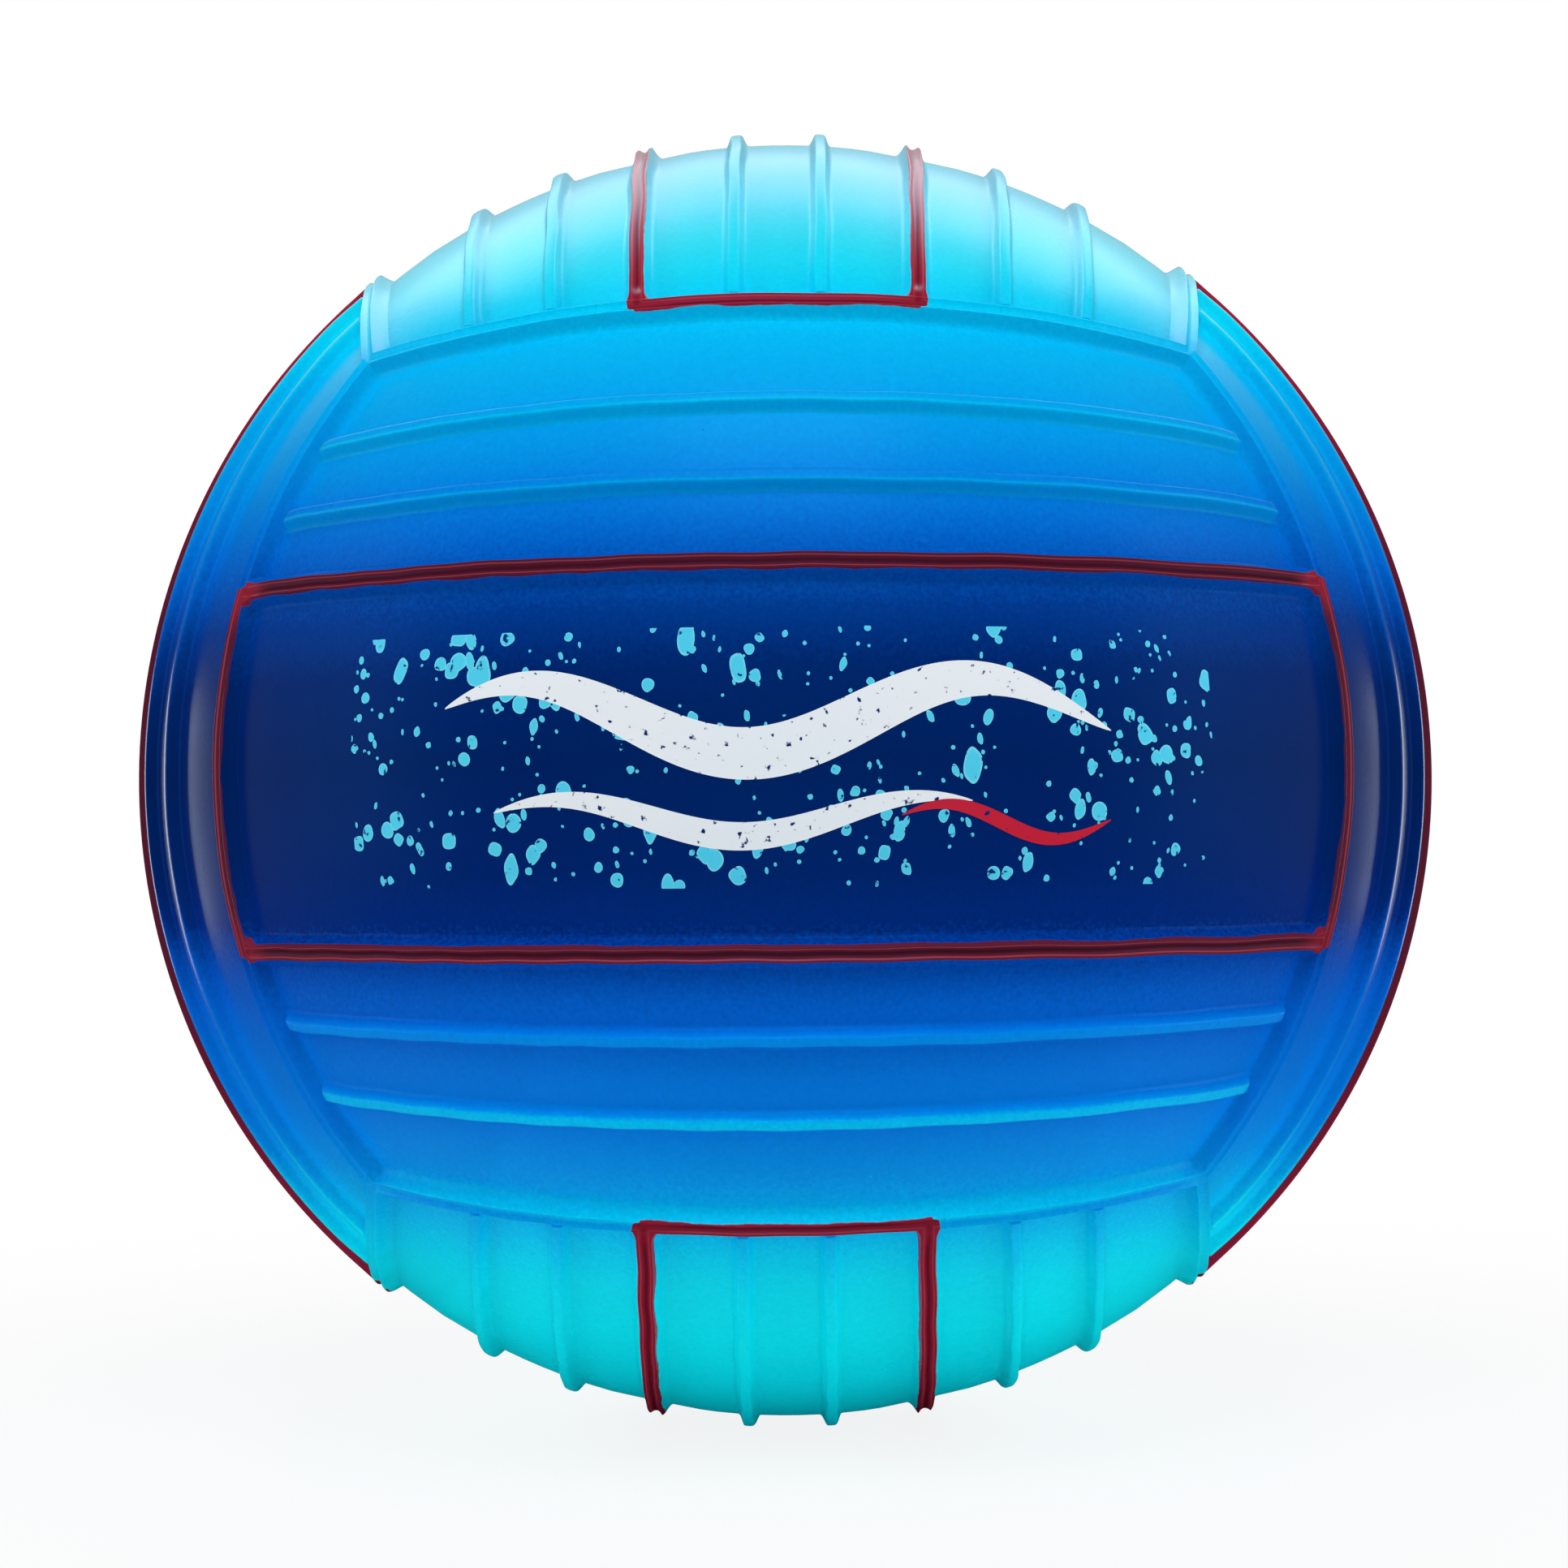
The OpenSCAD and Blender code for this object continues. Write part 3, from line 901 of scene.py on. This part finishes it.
red, shader, place = new_material("seam_paint")
body = flecked(place, faded(place, FADE))
away = attribute(place, "from_line")
# Painted shade: the groove goes nearly black.
painted_groove_shade = soft_passage(away, GROOVE_REACH, GROOVE_FULL, GROOVE_SHADE)
dark = mix_colour(painted_groove_shade, faded(place, RED_FADE), seen(*SHADE_COLOUR))
# Painted highlight: a light line along each lip's inner edge.
beside = math_node("ABSOLUTE", math_node("SUBTRACT", away, CREST_LINE))
crest = soft_passage(beside, CREST_HALF, 0.0, CREST_HIGHLIGHT)
highlit = mix_colour(crest, dark, seen(*HIGHLIGHT_COLOUR))
fresh = soft_passage(attribute(place, "from_joint"), JOINT_REACH, JOINT_FULL, JOINT_FRESH)
paint = mix_colour(fresh, highlit, faded(place, JOINT_FADE))
uneven = math_node("SUBTRACT", noise(place, RAGGED_MM, 3.0), 0.5)
ragged = math_node("MULTIPLY_ADD", uneven, RAGGED, attribute(place, "from_paint"))
colour = mix_colour(passage(ragged, *EDGE_SOFT), paint, body)
rubber(shader, place, colour, PAINT_ROUGH)

for name, piece in pieces.items():
    piece.data.materials.append(red if name.endswith("_frame") else cover)
print("finishes on", len(pieces), "pieces")

# %% [markdown]
# The print on the front panel. Such a panel carries a broad printed field, and this one is a
# free design: droplets of pale blue, two long white waves and a short red one. Ink is a real
# layer, some hundredths of a millimetre thick, so each mark is a thin closed mesh that lies
# on the panel. The field's edge clips the marks, as a printing plate does.

# %% Marks of ink
FIELD = np.array((59.0, 16.2))
RIM_SHARE, RIM_LIFT = 0.75, 0.6


def on_panel(across_mm, up_mm, lift):
    """A point on the front of the ball from distances along its surface."""
    turn, rise = across_mm / BALL_R, up_mm / BALL_R
    way = (math.sin(turn) * math.cos(rise), -math.cos(turn) * math.cos(rise), math.sin(rise))
    return Vector(way) * (BALL_R + SWELL + lift) * MM


def raised(rings):
    return [on_panel(*place, lift) for ring, lift in rings for place in ring]


def blob(outline, ink):
    """A thin closed patch of ink with the given outline."""
    count = len(outline)
    middle = outline.mean(0)
    inner = middle + (outline - middle) * RIM_SHARE
    rings = [(outline, -ink), (outline, ink * RIM_LIFT), (inner, ink)]
    points = raised(rings + [([middle], ink), ([middle], -ink)])
    faces = []
    for i in range(count):
        j = (i + 1) % count
        faces.append((i, j, j + count, i + count))
        faces.append((i + count, j + count, j + 2 * count, i + 2 * count))
        faces += [(i + 2 * count, j + 2 * count, 3 * count), (j, i, 3 * count + 1)]
    rims = [1.0] * (2 * count) + [0.0] * (count + 2)
    return points, faces, rims


def ribbon(path, widths, ink):
    """A thin closed band of ink along a path, as wide as given at each point."""
    ahead = np.concatenate((path[1:], path[-1:])) - np.concatenate((path[:1], path[:-1]))
    aside = ahead[:, ::-1] * (-1, 1) * (widths / np.hypot(*ahead.T))[:, None]
    left, right = [np.clip(edge, -FIELD, FIELD) for edge in (path + aside, path - aside)]
    rings = ((left, -ink), (left, ink), ((left + right) / 2, ink), (right, ink), (right, -ink))
    count, points = len(path), raised(rings)
    starts = [row * count for row in range(len(rings))]
    faces = []
    for a, b in zip(starts, starts[1:] + starts[:1]):
        faces += [(a + i, a + i + 1, b + i + 1, b + i) for i in range(count - 1)]
    faces += [starts, [v + count - 1 for v in reversed(starts)]]
    return points, faces, [0.0] * len(points)


def ink_layer(name, marks):
    points, faces, rims = [], [], []
    for mark_points, mark_faces, mark_rims in marks:
        faces += [[v + len(points) for v in face] for face in mark_faces]
        points += mark_points
        rims += mark_rims
    mesh = bpy.data.meshes.new(name)
    mesh.from_pydata(points, [], faces)
    mesh.attributes.new("rim", "FLOAT", "POINT").data.foreach_set("value", rims)
    work = bmesh.new()
    work.from_mesh(mesh)
    bmesh.ops.recalc_face_normals(work, faces=work.faces)
    work.to_mesh(mesh)
    work.free()
    return placed(name, mesh)


# %% [markdown]
# Placing the marks. The droplets are scattered by chance, always from the same seed, so the
# print is the same each time. The waves swell in the middle and thin out to both tips.

# %% Print the front panel
DROPS = 420
DROP_LEAST, DROP_EXTRA, DROP_RARITY = 0.2, 1.0, 3.5
DROP_STRETCHES = (1.0, 1.1, 1.3, 1.9)
DROP_LEAN, DROP_BUMP = 0.4, 0.07
SMALL_DROP, SMALL_POINTS, LARGE_POINTS = 0.45, 12, 26
LEAST_AREA = 0.08
DROP_INK, WHITE_INK, RED_INK = 0.03, 0.045, 0.06
WAVE_POINTS, WAVE_START, WAVE_TIP, WAVE_TAPER = 180, 0.4, 0.05, 0.8
ink_rng = random.Random(7)


def droplet(rng):
    """An outline, mostly small and round, some drawn out upright as they ran."""
    x, z = [rng.uniform(-edge, edge) for edge in FIELD]
    size = DROP_LEAST + DROP_EXTRA * rng.random() ** DROP_RARITY
    stretch = rng.choice(DROP_STRETCHES)
    lean = rng.uniform(-DROP_LEAN, DROP_LEAN)
    cos, sin = math.cos(lean), math.sin(lean)
    bumps = [(rng.uniform(0, DROP_BUMP), rng.uniform(0, 6.3)) for _ in range(3)]
    count = SMALL_POINTS if size < SMALL_DROP else LARGE_POINTS
    turn = -2 * math.pi * np.arange(count) / count
    reach = size * (1 + sum(a * np.cos(k * turn + p) for k, (a, p) in enumerate(bumps, 2)))
    u, v = reach * np.cos(turn), reach * stretch * np.sin(turn)
    outline = np.stack((x + u * cos - v * sin, z + u * sin + v * cos), 1)
    return np.clip(outline, -FIELD, FIELD)


def ink_wave(start, stop, base, swing, turns, width):
    """The path and half widths of a wave."""
    share = np.arange(WAVE_POINTS) / (WAVE_POINTS - 1)
    rise = np.sin(turns * math.pi * share + WAVE_START)
    path = np.stack((start + (stop - start) * share, base + swing * rise), 1)
    return path, WAVE_TIP + width * np.sin(math.pi * share) ** WAVE_TAPER


def area(outline):
    (x0, z0), (x1, z1) = outline.T, np.roll(outline, -1, axis=0).T
    return abs(np.sum(x0 * z1 - x1 * z0)) / 2


drops = [droplet(ink_rng) for _ in range(DROPS)]
drops = [outline for outline in drops if area(outline) > LEAST_AREA]
upper_wave = ink_wave(start=-44, stop=43, base=5.0, swing=4.6, turns=3.0, width=3.2)
lower_wave = ink_wave(start=-37, stop=24, base=-7.4, swing=2.4, turns=2.6, width=1.7)
short_wave = ink_wave(start=15, stop=43, base=-8.2, swing=2.2, turns=1.9, width=0.9)
white_marks = [ribbon(*wave, WHITE_INK) for wave in (upper_wave, lower_wave)]
ink_pale = ink_layer("print_droplets", [blob(outline, DROP_INK) for outline in drops])
ink_white = ink_layer("print_white_waves", white_marks)
ink_red = ink_layer("print_red_wave", [ribbon(*short_wave, RED_INK)])
print("marks printed:", len(drops) + 3)

# %% [markdown]
# Inks. Screen ink on rubber isn't even: it has pinholes where the panel shows through, a
# lighter rim where it piled up, and it is a little duller than the rubber.

# %% Ink finishes
INK_ROUGH, PINHOLE_MM, PINHOLE_SOFT = 0.3, 0.5, 0.05


def ink(name, colour, rim, holes):
    material, shader, place = new_material(name)
    body = faded(place, FADE)
    tone = mix_colour(attribute(place, "rim"), seen(*colour), seen(*rim))
    spots = passage(noise(place, PINHOLE_MM, 3.0), holes, holes + PINHOLE_SOFT)
    rubber(shader, place, mix_colour(spots, tone, body), INK_ROUGH)
    return material


for piece, finish in (
    (ink_pale, ink("ink_pale_blue", (80, 205, 235), (120, 220, 242), 0.62)),
    (ink_white, ink("ink_white", (232, 238, 242), (238, 243, 246), 0.64)),
    (ink_red, ink("ink_red", (196, 30, 48), (210, 50, 64), 0.66)),
):
    piece.data.materials.append(finish)

# %% [markdown]
# The valve, and the pieces one only sees when the ball is opened. Their shapes are right as
# they come, so each just gets a finish: wound thread in long crossing bands, black butyl with
# a bloom, and two rubbers for the valve.

# %% Finishes of the inner pieces and the valve
THREAD_WAVES, THREAD_WANDER, THREAD_DEPTH = 900.0, 3.0, 0.1
BLOOM_MM = 4.0


def give(node, material):
    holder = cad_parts[node]
    if not holder.material_slots:
        holder.data.materials.append(material)
    for slot in holder.material_slots:
        slot.material = material


def plain_rubber(name, dark, light, rough):
    material, shader, place = new_material(name)
    colour = mix_colour(noise(place, BLOOM_MM, 4.0), seen(*dark), seen(*light))
    rubber(shader, place, colour, rough)
    return material


thread, shader, place = new_material("wound_thread")
winding = {"Vector": place, "Scale": THREAD_WAVES, "Distortion": THREAD_WANDER, "Detail": 2.0}
bands = add(place, "TexWave", winding, bands_direction="DIAGONAL").outputs["Fac"]
bump = add(place, "Bump", {"Height": bands, "Strength": 0.6, "Distance": THREAD_DEPTH * MM})
colour = mix_colour(bands, seen(176, 170, 150), seen(226, 222, 206))
feed(shader, {"Base Color": colour, "Normal": bump.outputs[0], "Roughness": 0.85})

give("carcass", thread)
give("bladder", plain_rubber("butyl", (16, 16, 18), (44, 44, 46), 0.5))
give("valve_body", plain_rubber("valve_rubber", (20, 24, 34), (38, 44, 58), 0.45))
give("valve_core", plain_rubber("plug_rubber", (120, 124, 128), (160, 164, 168), 0.5))

# %% [markdown]
# What each piece stands for. Every piece takes the place of one node of the fixed frame, and
# the prints lie on the front panel. A ball has one body, so all of it rides together.

# %% Tie the pieces to the frame
NODE_WORDS = {"_cover": "_panel", "_frame": "_seam_frame", "corner_": "corner_seam_"}
for name, piece in pieces.items():
    node = name
    for word, node_word in NODE_WORDS.items():
        node = node.replace(word, node_word)
    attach(piece, "root")
    if node != "back_centre_panel":
        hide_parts(node)
for piece, slot in {ink_pale: "cover_light", ink_white: "cover_light", ink_red: "seam_red"}.items():
    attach(piece, "root")

# %% [markdown]
# The valve's hole goes through the middle of the back panel. It is cut last, with a plain
# round cutter, so the edge is as clean as a punched one.

# %% Cut the valve hole
HOLE_R, CUT_POINTS, CUTTER_LENGTH = 4.6, 64, 20.0


def placed_work(name, work):
    """An object with the workbench's mesh, and the bench cleared."""
    mesh = bpy.data.meshes.new(name)
    work.to_mesh(mesh)
    work.free()
    return placed(name, mesh)


at_valve = Matrix.Translation((0, BALL_R * MM, 0)) @ Matrix.Rotation(math.pi / 2, 4, "X")
work = bmesh.new()
bmesh.ops.create_cone(
    work, cap_ends=True, segments=CUT_POINTS, radius1=HOLE_R * MM, radius2=HOLE_R * MM,
    depth=CUTTER_LENGTH * MM, matrix=at_valve,
)
cutter = placed_work("hole_cutter", work)
back = pieces["back_centre_cover"]
punch = back.modifiers.new("punch", "BOOLEAN")
punch.operation, punch.solver, punch.object = "DIFFERENCE", "EXACT", cutter
evaluated = back.evaluated_get(bpy.context.evaluated_depsgraph_get())
punched = bpy.data.meshes.new_from_object(evaluated)
back.modifiers.clear()
back.data = punched
bpy.data.objects.remove(cutter)
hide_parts("back_centre_panel")
print("points on the punched panel:", len(punched.vertices))

# %% [markdown]
# The floor is a pale round of paper that fades out at its rim, so it holds the ball's shadow
# and meets the white backdrop without a line. The ball's gloss would mirror it as a grey
# veil, and it would stop the light from the table below, so it stays out of reflections and
# casts no shadow of its own.

# %% Floor
scene = bpy.context.scene
scene.view_settings.view_transform = "Standard"
FLOOR_R, FLOOR_SOLID_R, FLOOR_POINTS = 0.34, 0.08, 96
FLOOR_WHITE = 0.86
at_floor = Matrix.Translation((0, 0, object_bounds()[0].z))
work = bmesh.new()
bmesh.ops.create_circle(
    work, cap_ends=True, cap_tris=True, segments=FLOOR_POINTS, radius=FLOOR_R, matrix=at_floor,
)
floor = placed_work("floor", work)
floor.visible_glossy, floor.visible_shadow = False, False


def seen_directly(near, gloss_share=1.0):
    """1 for camera rays, the given share for gloss and glass, and 0 for the rest."""
    rays = add(near, "LightPath").outputs
    gloss = math_node("MAXIMUM", rays["Is Glossy Ray"], rays["Is Transmission Ray"])
    return math_node("MAXIMUM", rays["Is Camera Ray"], math_node("MULTIPLY", gloss, gloss_share))


paper, shader, place = new_material("pale_paper")
pale = mix_colour(noise(place, 60.0), seen(236, 236, 236), seen(240, 240, 240))
feed(shader, {"Base Color": pale, "Roughness": 0.9})
shine = add(place, "Emission", {"Color": (1, 1, 1, 1), "Strength": 1.0})
share = math_node("MULTIPLY", seen_directly(place), FLOOR_WHITE)
lit = add(place, "MixShader", {0: share, 1: shader.outputs[0], 2: shine.outputs[0]})
flat = add(place, "VectorMath", {0: place, 1: (1, 1, 0)}, operation="MULTIPLY").outputs[0]
reach = add(flat, "VectorMath", {0: flat}, operation="LENGTH").outputs["Value"]
fading = soft_passage(reach, FLOOR_SOLID_R, FLOOR_R)
clear = add(place, "BsdfTransparent")
edge = add(place, "MixShader", {0: fading, 1: lit.outputs[0], 2: clear.outputs[0]})
feed(paper.node_tree.nodes["Material Output"], {"Surface": edge.outputs[0]})
floor.data.materials.append(paper)

# %% [markdown]
# The backdrop is white to the camera. Gloss sees it too, but only where it stands, behind and
# above the ball, with dim walls at either side. The room on the camera's side stays dark, so
# the navy keeps its depth in front while the ball's top catches a pale sheen.

# %% Backdrop
BEHIND = (0.0, 0.8, 0.6)
STAND_EDGE = (0.75, 0.9)
RISING, LOW_LIGHT = (0.1, 0.75), 0.3
WALL_EDGE, WALL_TOP, WALL_LIGHT = (0.75, 0.95), (0.45, 0.15), 0.16
AMBIENT = 0.32
world = bpy.data.worlds.new("studio")
world.use_nodes = True
scene.world = world
way = add(world.node_tree, "TexCoord").outputs["Generated"]
facing = add(way, "VectorMath", {0: way, 1: BEHIND}, operation="DOT_PRODUCT").outputs["Value"]
parts = add(way, "SeparateXYZ", {0: way}).outputs
aside, upright = [math_node("ABSOLUTE", parts[axis]) for axis in ("X", "Z")]
stand_light = passage(parts["Z"], *RISING, start=LOW_LIGHT)
wall_light = passage(upright, *WALL_TOP, end=WALL_LIGHT)
stand = passage(facing, *STAND_EDGE, end=stand_light)
walls = passage(aside, *WALL_EDGE, end=wall_light)
direct = seen_directly(way, math_node("MAXIMUM", stand, walls))
diffuse = add(way, "LightPath").outputs["Is Diffuse Ray"]
strength = math_node("MAXIMUM", direct, math_node("MULTIPLY", diffuse, AMBIENT))
white = add(way, "Background", {"Color": (1, 1, 1, 1), "Strength": strength})
feed(world.node_tree.nodes["World Output"], {"Surface": white.outputs[0]})

# %% [markdown]
# The lamps. Six broad soft ones light the paint: one high in front, which makes the upward
# flanks of the ribs stand out, one square in front, one from below like the light off a white
# table, one at either side and one behind. They leave no hot spots, as gloss doesn't see them.
#
# Three more are seen in the gloss only. One above and behind gives the ball's top its sheen,
# and one at either side the soft streak there. So colour and shine can be set apart.

# %% Lamps
def soft_box(name, place, wide, tall, watts, gloss_only=False):
    lamp = bpy.data.lights.new(name, "AREA")
    lamp.shape = "RECTANGLE"
    lamp.size, lamp.size_y, lamp.energy = wide, tall, watts
    holder = placed(name, lamp)
    holder.location = place
    holder.rotation_euler = (-Vector(place)).to_track_quat("-Z", "Y").to_euler()
    holder.visible_diffuse, holder.visible_glossy = not gloss_only, gloss_only


soft_box("top_light", (0.0, -0.6, 0.72), 0.6, 0.5, 4.5)
soft_box("front_fill", (0.0, -1.3, 0.0), 0.9, 0.9, 2.0)
soft_box("table_light", (0.0, -0.4, -0.75), 0.9, 0.6, 2.4)
soft_box("left_fill", (-1.2, -0.3, 0.2), 0.5, 0.9, 5.6)
soft_box("right_fill", (1.2, -0.3, 0.2), 0.5, 0.9, 5.6)
soft_box("rear_fill", (0.0, 1.25, 0.35), 0.9, 0.6, 8.3)
soft_box("back_light", (0.0, 0.55, 0.72), 1.0, 0.46, 1.7, gloss_only=True)
soft_box("left_light", (-0.66, 0.6, -0.02), 0.28, 0.3, 0.7, gloss_only=True)
soft_box("right_light", (0.66, 0.6, -0.02), 0.28, 0.3, 0.7, gloss_only=True)

# %% [markdown]
# The camera looks at the front panel almost square on, from a little above. Its distance
# came from how much of the ball's side faces one can see.

# %% Camera
CAMERA_DISTANCE = 0.4889
LENS, SENSOR = 73.44, 36.0
SHIFT = (-0.000844, -0.00235)
TURNS = (-0.0311, -0.0096, -0.0060)
about_x, about_y, about_z = [Matrix.Rotation(turn, 3, axis) for turn, axis in zip(TURNS, "XYZ")]
back_turn = (about_z @ about_y @ about_x).transposed()
optics = bpy.data.cameras.new("camera")
optics.lens, optics.sensor_width = LENS, SENSOR
optics.shift_x, optics.shift_y = SHIFT
camera = placed("camera", optics)
axes = [back_turn @ Vector(v) for v in ((1, 0, 0), (0, 0, 1), (0, -1, 0))]
facing = Matrix(axes).transposed().to_4x4()
camera.matrix_world = Matrix.Translation(back_turn @ Vector((0, -CAMERA_DISTANCE, 0))) @ facing
scene.camera = camera
